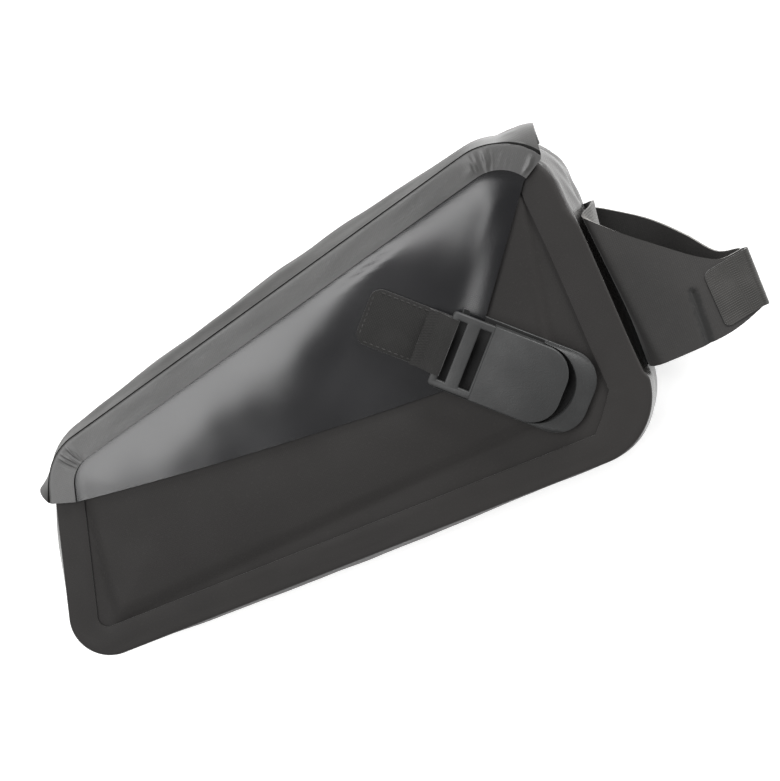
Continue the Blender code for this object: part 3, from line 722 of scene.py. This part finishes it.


# foldShade marks the flap's wall: it paints a shade strip along its fold and takes the flap's shines
def wallPiece(name, path, standoff, top, flares, relief, material, sideMaterial, nodes, foldShade=False):
    section = wallSection()
    runs = runLengths(path)
    shines = wall["flapShines" if foldShade else "shines"]
    shadeStart, shadeEnd = wall["foldShade"]

    def placeAt(i, j):
        part, share = section[j]
        return wallPoint(path[i], runs[i], part, share, standoff, top, flares[i], relief)

    def weaveAt(i, j):
        return runs[i], j * wall["weave"]

    bm = clothGrid(len(path) - 1, len(section) - 1, placeAt, weaveAt)
    bmesh.ops.recalc_face_normals(bm, faces=bm.faces)
    if sum(face.normal.z for face in bm.faces if face.calc_center_median().z > top - 0.0003) < 0:
        bmesh.ops.reverse_faces(bm, faces=bm.faces)
    shine = bm.verts.layers.float.new("shine")
    for vert in bm.verts:
        vert[shine] = max(ease((vert.co.x - start) / (end - start)) for start, end in shines)
    for face in bm.faces:
        down = (top - face.calc_center_median().z) / wall["fold"]
        face.material_index = int(down > wall["sideFrom"])
        # painted shade: a strip along the fold of the flap's wall takes the near-black cloth
        if foldShade and shadeStart < down < shadeEnd:
            face.material_index = 2
    piece = finishPiece(name, bm, material, nodes)
    piece.data.materials.append(sideMaterial)
    piece.data.materials.append(paintedFoldShade)
    giveThickness(piece, wall["thickness"])
    return piece


# a slow ripple, and the inner edge pressed down a little
def rimRelief(station, run, share):
    return 0.00012 * wobble(run * 60, share * 3, 2.0) - 0.0002 * ease((share - 0.8) / 0.2)


still = [Vector((0.0, 0.0))] * len(bodyPath)
gusset = wallPiece("gussetWall", bodyPath, 0.0, bag["depth"], still, rimRelief, faceCloth, wallCloth,
                   ["gusset"])
print("gusset made")


# the flap: its own wall along the sloping top, and the glossier sheet down to the buckle
flap = {
    "spacing": 0.0019,
    "thickness": 0.0008,
    "rest": 0.0003,
    "leftEnd": 0.0065,
    "rightTurn": 0.72,
    "tip": (0.2035, 0.0535),
    "tipRadius": 0.005,
    "sag": 0.0015,
    "wingReachRight": 0.020,
    "wingReachLeft": 0.012,
    "wingCurve": 1.2,
    "wingRight": (-0.0003, 0.0124),
    "wingLeft": (-0.0050, 0.0049),
    "curl": 0.0011,  # how far the right edge lifts
    "curlReach": 0.013,
    "gatherDepth": 0.00018,
    "gathersAt": {2: 0.86, 3: 0.30},  # place along each corner's turn
    "gathersReach": 0.22,
    # ridges across the band at a corner: corner, place along its turn, half width in metres, height
    "ridges": ((2, 0.990, 0.0007, 0.0006), (2, 0.945, 0.0006, 0.0008), (2, 0.905, 0.0006, 0.0005),
               (2, 0.820, 0.0007, 0.0007), (2, 0.780, 0.0005, 0.0004), (2, 0.34, 0.0009, 0.0005),
               (3, 0.20, 0.0006, 0.0005), (3, 0.33, 0.0006, 0.0006), (3, 0.43, 0.0006, 0.0004)),
}


def flapPath():
    band = rims["band"]
    path = outlinePath((2, 3), (band, band, band), bag["flapBulges"])
    path = path[round((1 - flap["rightTurn"]) * bag["arcSteps"]):]
    corners = bag["corners"]
    down = (Vector(corners[0]) - Vector(corners[3])).normalized()
    last = path[-1]
    for step in range(1, 5):
        path.append(dict(last, at=last["at"] + down * flap["leftEnd"] * step / 4))
    return path


flapLine = flapPath()
flapRuns = runLengths(flapLine)
flares = []
for run in flapRuns:
    right = max(1 - run / flap["wingReachRight"], 0.0) ** flap["wingCurve"]
    left = max(1 - (flapRuns[-1] - run) / flap["wingReachLeft"], 0.0) ** flap["wingCurve"]
    flares.append(Vector(flap["wingRight"]) * right + Vector(flap["wingLeft"]) * left)


# radial gathers where the cloth is pulled round the corners
def bandRelief(station, run, share):
    if station["corner"] is None:
        return 0.00008 * wobble(run * 70, share * 2, 6.0)
    window = bell(station["turn"] - flap["gathersAt"][station["corner"]], flap["gathersReach"])
    folds = wobble(run * 520, share * 1.2, 3.0) + 0.6 * wobble(run * 1100, share * 2, 7.0)
    height = flap["gatherDepth"] * window * folds * ease(share * 3)
    for corner, turn, width, ridge in flap["ridges"]:
        if corner == station["corner"]:
            skew = 0.02 * wobble(share * 3, turn * 20, 1.0)
            away = (station["turn"] - turn - skew) * bag["radii"][corner] * math.pi / 2
            height += ridge * bell(away, width) * math.sin(math.pi * min(share * 1.1, 1.0))
    return height


bandTop = bag["depth"] + 2 * bag["layer"] + flap["rest"]
flapGusset = wallPiece("flapGussetWall", flapLine, bag["layer"], bandTop, flares, bandRelief, bandCloth,
                       flapWallCloth, ["flap_gusset"], foldShade=True)


def flapOutline():
    tucked = [station["at"] - station["normal"] * bag["layer"] for station in flapLine]
    left = flapLine[-1]["at"] - flapLine[-1]["normal"] * rims["band"]
    right = flapLine[0]["at"] - flapLine[0]["normal"] * rims["band"]
    tip = Vector(flap["tip"])
    before = (tip - left).normalized()
    after = (right - tip).normalized()
    turn = before.angle(after)
    centre = tip - before * flap["tipRadius"] * math.tan(turn / 2) - sideways(before) * flap["tipRadius"]
    lower = []
    arcStart = centre + sideways(before) * flap["tipRadius"]
    for step in range(40):
        share = step / 40
        sag = sideways(before) * flap["sag"] * math.sin(math.pi * share)
        lower.append(left + (arcStart - left) * share + sag)
    for step in range(9):
        normal = sideways(before)
        normal.rotate(Matrix.Rotation(turn * step / 8, 2))
        lower.append(centre + normal * flap["tipRadius"])
    return tucked + lower + [right]


def flapHeight(point):
    right = flapLine[0]["at"] - flapLine[0]["normal"] * rims["band"]
    tip = Vector(flap["tip"])
    away, share = nearLine(point, tip, right)
    along = ease((share - 0.12) / 0.25) * ease((0.97 - share) / 0.3)
    curl = flap["curl"] * (1 - ease(away / flap["curlReach"])) * along
    return bag["depth"] + bag["layer"] + flap["rest"] + faceCrown(point) + curl


bm = panelGrid(flapOutline(), flap["spacing"], flapHeight)
flapPanel = finishPiece("flapPanel", bm, flapCloth, ["flap_panel"])
giveThickness(flapPanel, flap["thickness"])
print("flap made")


# the buckle is modelled along its own axis and then turned into place
def roundedSlab(start, end, half, radius, bottom, top, edge):
    bm = bmesh.new()
    corners = ((start, -half), (end, -half), (end, half), (start, half))
    bm.faces.new([bm.verts.new((s, w, bottom)) for s, w in corners])
    roundCorners(bm, [vert for vert in bm.verts if vert.co.x > (start + end) / 2], radius, 14)
    raiseFaces(bm, top - bottom)
    roundEdges(bm, [e for e in bm.edges if isLevel(e)], edge)
    return bm


# the clip: a grid of cells with the two slots left out, and the plate
def buildClip():
    stops = [-buckle["frame"]]
    for part in ("nearBar", "nearSlot", "centreBar", "farSlot"):
        stops.append(stops[-1] + buckle[part])
    stops.append(0.002)
    half = buckle["halfWidth"] - buckle["air"]
    sides = [-half, -half + buckle["rail"], half - buckle["rail"], half]
    bm = bmesh.new()
    bmesh.ops.create_grid(bm, x_segments=5, y_segments=3, size=1)
    for vert in bm.verts:
        column, row = round((vert.co.x + 1) / 2 * 5), round((vert.co.y + 1) / 2 * 3)
        vert.co = (stops[column], sides[row], buckle["barBottom"])
    slots = []
    for cell in bm.faces:
        middle = cell.calc_center_median()
        inNear = stops[1] < middle.x < stops[2]
        inFar = stops[3] < middle.x < stops[4]
        if abs(middle.y) < half - buckle["rail"] and (inNear or inFar):
            slots.append(cell)
    bmesh.ops.delete(bm, geom=slots, context="FACES")
    raiseFaces(bm, buckle["thickness"])
    ends = [e for e in bm.edges if not isLevel(e) and e.verts[0].co.x < stops[0] + 1e-5
            and abs(abs(e.verts[0].co.y) - half) < 1e-5]
    roundEdges(bm, ends, buckle["frameCorner"], 5)
    flatEdges = [e for e in bm.edges if len(e.link_faces) == 2 and e.calc_face_angle(0) < 0.01]
    bmesh.ops.dissolve_edges(bm, edges=flatEdges, use_verts=False)
    hard = [e for e in bm.edges if len(e.link_faces) == 2 and e.calc_face_angle(0) > 0.9]
    roundEdges(bm, hard, buckle["frameEdge"])
    plateTop = buckle["barBottom"] + buckle["thickness"] + buckle["plateProud"]
    joinInto(bm, roundedSlab(0.0, buckle["plateLength"], buckle["halfWidth"], buckle["plateRadius"],
                             buckle["plateBottom"], plateTop, buckle["plateEdge"]))
    bm.transform(buckleMatrix)
    return finishPiece("buckleClip", bm, bucklePlastic, ["buckle_clip"], sharpAngle=50)


# a U round the plate's far end, from one side of the buckle to the other
def collarPath(half, end, radius):
    bm = bmesh.new()
    start = buckle["collarStart"]
    line = [bm.verts.new((s, w, 0)) for s, w in ((start, -half), (end, -half), (end, half), (start, half))]
    bm.faces.new(line)
    roundCorners(bm, line[1:3], radius, 12)
    bm.faces.ensure_lookup_table()
    points = [vert.co.copy() for vert in bm.faces[0].verts]
    bm.free()
    first = min(range(len(points)), key=lambda i: (points[i].x > start + 1e-6, points[i].y))
    ordered = points[first:] + points[:first]
    if ordered[1].x < start + 1e-6:
        ordered = [ordered[0]] + ordered[:0:-1]
    return ordered


def buildBase():
    gap, air = buckle["collarGap"], buckle["air"]
    slabTop = buckle["baseBottom"] + buckle["baseThickness"]
    bm = roundedSlab(buckle["nearBar"] - buckle["frame"], buckle["baseLength"], buckle["baseHalfWidth"],
                     buckle["baseRadius"], buckle["baseBottom"], slabTop, buckle["baseEdge"])
    inner = collarPath(buckle["halfWidth"] + air, buckle["plateLength"] + gap, buckle["plateRadius"] + gap)
    outer = collarPath(buckle["baseHalfWidth"] - air, buckle["baseLength"] - air, buckle["baseRadius"] - air)
    low = buckle["baseBottom"] + buckle["baseThickness"] / 2
    shoulder = slabTop + air
    high = slabTop + buckle["collarHeight"]

    def placeAt(i, j):
        near, far = inner[i], outer[i]
        step = min(buckle["collarCrest"] / max((far - near).length, 1e-6), 0.5)
        slope = (near.lerp(far, 0.6), high * 0.45 + shoulder * 0.55)
        around = ((near, low), (near, high - 0.0004), (near.lerp(far, step * 0.35), high),
                  (near.lerp(far, step), high - 0.0001), slope, (far, shoulder), (far, low), (near, low))
        spot, height = around[j]
        return Vector((spot.x, spot.y, height))

    collar = clothGrid(len(inner) - 1, 7, placeAt, lambda i, j: (i * 0.002, j * 0.002))
    bmesh.ops.remove_doubles(collar, verts=collar.verts, dist=1e-6)
    bmesh.ops.holes_fill(collar, edges=collar.edges, sides=12)
    bmesh.ops.recalc_face_normals(collar, faces=collar.faces)
    joinInto(bm, collar)
    # painted shadow: the slab's top, seen through the slots and in the crescent, takes a near-black plastic
    # that stands in for the shade down there
    for face in bm.faces:
        onTop = face.normal.z > 0.9 and abs(face.calc_center_median().z - slabTop) < 0.0002
        face.material_index = int(onTop and face.calc_area() > 1e-5)
    bm.transform(buckleMatrix)
    piece = finishPiece("buckleBase", bm, bucklePlastic, ["buckle_base"], sharpAngle=50)
    piece.data.materials.append(paintedShadowPlastic)
    return piece


buildClip()
buildBase()
print("buckle made")


# the webbing: the sewn patch and the loop through the clip
webbing = {
    "thickness": 0.0014,
    "width": 0.0245,
    "shift": 0.0007,
    "freeEnd": 0.0096,
    "patchBottom": 0.0533,
    "patchRadius": 0.005,
    "air": 0.0003,
    "edge": 0.0004,
    "columns": 20,
}
webbing["low"] = webbing["shift"] - webbing["width"] / 2
webbing["high"] = webbing["shift"] + webbing["width"] / 2


def buildPatch():
    low, high = webbing["low"], webbing["high"]
    near = -buckle["frame"]
    far = near - buckle["patchLength"]
    bm = bmesh.new()
    corners = ((near, low), (near, high), (far, high), (far, low))
    verts = [bm.verts.new((s, w, webbing["patchBottom"])) for s, w in corners]
    bm.faces.new(verts)
    roundCorners(bm, verts[2:], webbing["patchRadius"], 10)
    raiseFaces(bm, webbing["thickness"])
    roundEdges(bm, [e for e in bm.edges if isLevel(e)], webbing["edge"])
    weave = bm.loops.layers.uv.new("weave")
    for patchFace in bm.faces:
        for loop in patchFace.loops:
            loop[weave].uv = (loop.vert.co.x, loop.vert.co.y)
    bm.transform(buckleMatrix)
    return finishPiece("strapPatch", bm, webbingWeave, ["strap_patch"], sharpAngle=50)


def buildLoop():
    frameStart = -buckle["frame"]
    under = buckle["barBottom"] - webbing["air"]
    over = buckle["barBottom"] + buckle["thickness"] + webbing["air"]
    free = frameStart - webbing["freeEnd"]
    barFar = frameStart + buckle["nearBar"] + webbing["air"]
    path = [(free, under + 0.0003), (free + 0.0034, under + 0.0009), (free + 0.0066, over - 0.0016),
            (frameStart - 0.0006, over - 0.0003), (frameStart + 0.0012, over), (barFar - 0.0007, over),
            (barFar, over - 0.0008), (barFar, under + 0.0008), (barFar - 0.0007, under),
            (frameStart - 0.002, under), (free, under)]
    curve = curveThrough([Vector((s, 0.0, z)) for s, z in path], 5)

    def acrossAt(i):
        return webbing["width"] * i / webbing["columns"]

    def placeAt(i, j):
        return Vector((curve[j].x, webbing["low"] + acrossAt(i), curve[j].z))

    bm = clothGrid(webbing["columns"], len(curve) - 1, placeAt, lambda i, j: (j * 0.0006, acrossAt(i)))
    bm.transform(buckleMatrix)
    piece = finishPiece("buckleWebbing", bm, webbingWeave, ["buckle_webbing"])
    giveThickness(piece, webbing["thickness"] * 0.95, 1.0)
    return piece


stitches = {"length": 0.0017, "thick": 0.00045, "spacing": 0.0026, "inset": 0.0014, "above": 0.00005}


# a stitch: a small slug of thread laid along its run
def addStitch(bm, at, along):
    turned = along.to_track_quat("X", "Z").to_matrix().to_4x4()
    slug = Matrix.Diagonal((stitches["length"] / 2, stitches["thick"] / 2, stitches["thick"] / 2, 1.0))
    placed = Matrix.Translation(at) @ turned @ slug
    bmesh.ops.create_uvsphere(bm, u_segments=8, v_segments=6, radius=1.0, matrix=placed)


def buildStitches():
    bm = bmesh.new()
    bm.loops.layers.uv.new("weave")
    low = webbing["low"] + stitches["inset"]
    high = webbing["high"] - stitches["inset"]
    near = -buckle["frame"] - webbing["freeEnd"] - 0.001
    far = -buckle["frame"] - buckle["patchLength"] + stitches["inset"]
    top = webbing["patchBottom"] + webbing["thickness"] + stitches["above"]
    corner = webbing["patchRadius"] * 0.7
    for start, end in (((near, high), (far + corner, high)), ((far, high - corner), (far, low + corner)),
                       ((far + corner, low), (near, low))):
        start, end = Vector((*start, top)), Vector((*end, top))
        count = round((end - start).length / stitches["spacing"])
        for step in range(count + 1):
            addStitch(bm, start.lerp(end, step / count), (end - start).normalized())
    bm.transform(buckleMatrix)
    return finishPiece("patchStitches", bm, threadWeave)


buildPatch()
buildStitches()
buildLoop()
print("webbing made")


# the tube strap: its base on the right wall and two leaves that close round the tube
strapTip = bag["corners"][1][0] + bag["bulge"] + strap["reach"]


# where along x the right side is at a height y of the face
def rightEdge(y):
    low, high = bag["corners"][1:3]
    return low[0] + (high[0] - low[0]) * y / high[1]


def rightBulge(y):
    start = cornerArc(1)[-1]["at"].y
    end = cornerArc(2)[0]["at"].y
    share = min(max((y - start) / (end - start), 0.0), 1.0)
    return sideBulge(bag["bodyBulges"][1][1], bag["bodyBulges"][2][0], share)


def leafRows(side):
    rootLow, rootHigh = strap["from"], strap["from"] + strap["width"]
    tipLow = strap["from"] + strap["tipUp"]
    tipHigh = tipLow + strap["tipWidth"]
    rows = []
    for out, low, high, backHigh, front, behind in strap["leaves"]:
        highShare, height = (high, front) if side == "front" else (backHigh, behind)
        rows.append({"out": out, "low": rootLow + (tipLow - rootLow) * low,
                     "high": rootHigh + (tipHigh - rootHigh) * highShare, "z": height * bag["depth"]})
    return rows


def leafPoint(row, share):
    rootY = strap["from"] + strap["width"] * share
    start = rightEdge(rootY) + bag["bulge"]
    y = row["low"] + (row["high"] - row["low"]) * share
    return Vector((start + (strapTip - start) * row["out"], y, row["z"]))


# one line of the strap, from the front leaf's tip round the base to the back leaf's tip
def strapLine(share):
    rootY = strap["from"] + strap["width"] * share
    points = [leafPoint(row, share) for row in leafRows("front")]
    rootOut = strap["rootOut"] + strap["rootSpread"] * (1 - share)
    points.append(Vector((rightEdge(rootY) + rootOut, rootY, strap["rootHeight"] * bag["depth"])))
    for level in strap["levels"]:
        out = bag["bulge"] * math.sin(math.pi * level) * rightBulge(rootY) + strap["air"]
        swell = share ** 5 * math.sin(math.pi * (1 - level))
        spot = (rightEdge(rootY) + out + strap["baseLean"] * swell, rootY + strap["baseRise"] * swell)
        points.append(Vector((*spot, level * bag["depth"])))
    return points + [leafPoint(row, share) for row in reversed(leafRows("back"))]


def gridOfLines(lines, stepAlong, stepAcross):
    return clothGrid(len(lines) - 1, len(lines[0]) - 1, lambda i, j: lines[i][j],
                     lambda i, j: (j * stepAlong, i * stepAcross))


def buildStrap():
    columns = strap["columns"]
    lines = [curveThrough(strapLine(i / columns), strap["steps"]) for i in range(columns + 1)]
    start, end, width, deep = strap["mark"]
    for line in lines:
        for point in line:
            if point.z > strap["frontAbove"]:
                away, share = nearLine(point.xy, start, end)
                point.z -= deep * bell(away, width)

    bm = gridOfLines(lines, 0.00108, 0.00102)
    # weights for the darker colour along the pressed mark, a little wider than the dent
    pressed = bm.verts.layers.float.new("pressed")
    for vert in bm.verts:
        away, share = nearLine(vert.co.xy, start, end)
        vert[pressed] = bell(away, width * strap["darkeningWider"]) * (vert.co.z > strap["frontAbove"])
    rootLow, rootTop = strap["levels"][2] * bag["depth"], strap["rootHeight"] * bag["depth"]
    for face in bm.faces:
        middle = face.calc_center_median()
        atRoot = rootLow < middle.z < rootTop - 0.001 and middle.x < rightEdge(middle.y) + strap["wovenDeep"]
        if atRoot and middle.y > strap["from"] + strap["width"] * strap["wovenFrom"]:
            face.material_index = 2
    piece = finishPiece("tubeStrap", bm, strapCloth, ["tube_strap"])
    for extra in (cutEdge, rootWeave):
        piece.data.materials.append(extra)
    giveThickness(piece, strap["thickness"], 1.0).material_offset_rim = 1
    return piece


# the tab follows both leaves from its two ends to the tip
def buildTab():
    lines = []
    for step in range(strap["tabColumns"] + 1):
        edge = step / strap["tabColumns"]
        leaves = []
        for side in ("front", "back"):
            line = []
            for row in leafRows(side):
                if row["out"] < strap["tabFrom"]:
                    continue
                drop = strap["tabDrop"] * (1 - row["out"]) / (1 - strap["tabFrom"])
                y = strap["from"] + strap["tipUp"] - drop + strap["tabWidth"] * edge
                share = (y - row["low"]) / (row["high"] - row["low"])
                start = rightEdge(strap["from"] + strap["width"] * share) + bag["bulge"]
                outwards = strap["air"] if side == "front" else -strap["air"]
                line.append(Vector((start + (strapTip - start) * row["out"], y, row["z"] + outwards)))
            # the corners of the two ends are rounded
            inwards = max(strap["tabRadius"] - strap["tabWidth"] * min(edge, 1 - edge), 0.0)
            cutBack = strap["tabRadius"] - math.sqrt(strap["tabRadius"] ** 2 - inwards ** 2)
            line[-1] = line[-1] + (line[-2] - line[-1]).normalized() * cutBack
            leaves.append(line)
        front, behind = leaves
        folded = strapTip + strap["tabFold"]
        ends = ((front[0], -0.0006), (behind[0], 0.0006))
        fold = [Vector((folded, end.y, end.z + lift)) for end, lift in ends]
        lines.append(curveThrough(front[::-1] + fold + behind, strap["tabSteps"]))

    bm = gridOfLines(lines, 0.0016, 0.000625)
    piece = finishPiece("strapTab", bm, tabWeave, ["strap_tab"])
    giveThickness(piece, strap["tabThickness"])
    return piece


buildStrap()
buildTab()
print("tube strap made")


floorLook = {"size": 3.0, "colour": (0.92, 0.92, 0.915), "glow": 0.5}


def buildFloor():
    bm = bmesh.new()
    bmesh.ops.create_grid(bm, x_segments=1, y_segments=1, size=floorLook["size"] / 2)
    bmesh.ops.translate(bm, verts=bm.verts, vec=(0, 0, -0.0002))
    mesh = bpy.data.meshes.new("floor")
    bm.to_mesh(mesh)
    bm.free()
    floor = bpy.data.objects.new("floor", mesh)
    bpy.context.scene.collection.objects.link(floor)
    material, tree, shader = startMaterial("paleFloor")
    feed(tree, shader, {"Base Color": floorLook["colour"], "Roughness": 0.85,
                        "Emission Color": (1.0, 1.0, 1.0), "Emission Strength": floorLook["glow"]})
    mesh.materials.append(material)


# each softbox: where it hangs, what it points at, which way its long side runs, its sides and its power
softboxes = {
    "over": {"at": (-0.294, 0.258, 1.05), "to": (0.0, 0.0, 0.03), "along": (0.8, 0.6),
             "size": (1.1, 0.42), "power": 9.6},
    "upperRight": {"at": (0.75, 0.75, 0.35), "to": (0.08, 0.06, 0.03), "along": (1.0, -1.0),
                   "size": (0.6, 0.5), "power": 15.0},
}


def addSoftbox(name, look):
    light = bpy.data.lights.new(name, "AREA")
    light.shape = "RECTANGLE"
    light.size, light.size_y = look["size"]
    light.energy = look["power"]
    item = bpy.data.objects.new(name, light)
    item.location = look["at"]
    facing = (Vector(look["to"]) - Vector(look["at"])).normalized()
    across = facing.cross(Vector((*look["along"], 0.0))).normalized()
    item.rotation_euler = Matrix((across.cross(-facing), across, -facing)).transposed().to_euler()
    bpy.context.scene.collection.objects.link(item)


# pale all round, dimmer overhead and behind the bag's upper edge
def lightWorld(horizon, overhead, behind):
    world = bpy.data.worlds.new("studio")
    world.use_nodes = True
    tree = world.node_tree
    split = tree.nodes.new("ShaderNodeSeparateXYZ")
    tree.links.new(tree.nodes.new("ShaderNodeTexCoord").outputs["Generated"], split.inputs[0])
    falling = rangeFrom(tree, split.outputs["Z"], 0.25, 0.85, horizon, overhead)
    fading = rangeFrom(tree, split.outputs["Y"], 0.2, 0.8, 1.0, behind)
    strength = multiply(tree, falling, fading)
    feed(tree, tree.nodes["Background"], {"Color": (1.0, 1.0, 1.0), "Strength": strength})
    bpy.context.scene.world = world


camera = {
    "target": (0.166387, 0.055796, 0.0),  # in the bag's flat frame
    "right": (0.92105, -0.38433, -0.06290),
    "up": (0.37029, 0.91429, -0.16420),
    "back": (0.12062, 0.12794, 0.98442),
    "distance": 1.0,
    "lens": 105.24,
}


def addCamera():
    lens = bpy.data.cameras.new("camera")
    lens.lens = camera["lens"]
    lens.sensor_width = 36.0
    lens.sensor_fit = "AUTO"
    lens.clip_start = 0.01
    item = bpy.data.objects.new("camera", lens)
    place = Vector(bag["origin"]) + Vector(camera["target"]) + Vector(camera["back"]) * camera["distance"]
    turned = Matrix((camera["right"], camera["up"], camera["back"])).transposed()
    item.matrix_world = Matrix.Translation(place) @ turned.to_4x4()
    bpy.context.scene.collection.objects.link(item)
    bpy.context.scene.camera = item


buildFloor()
for name, look in softboxes.items():
    addSoftbox(name, look)
lightWorld(1.0, 0.2, 0.3)
addCamera()
bpy.context.scene.view_settings.view_transform = "Standard"
print("floor, lights and camera set")
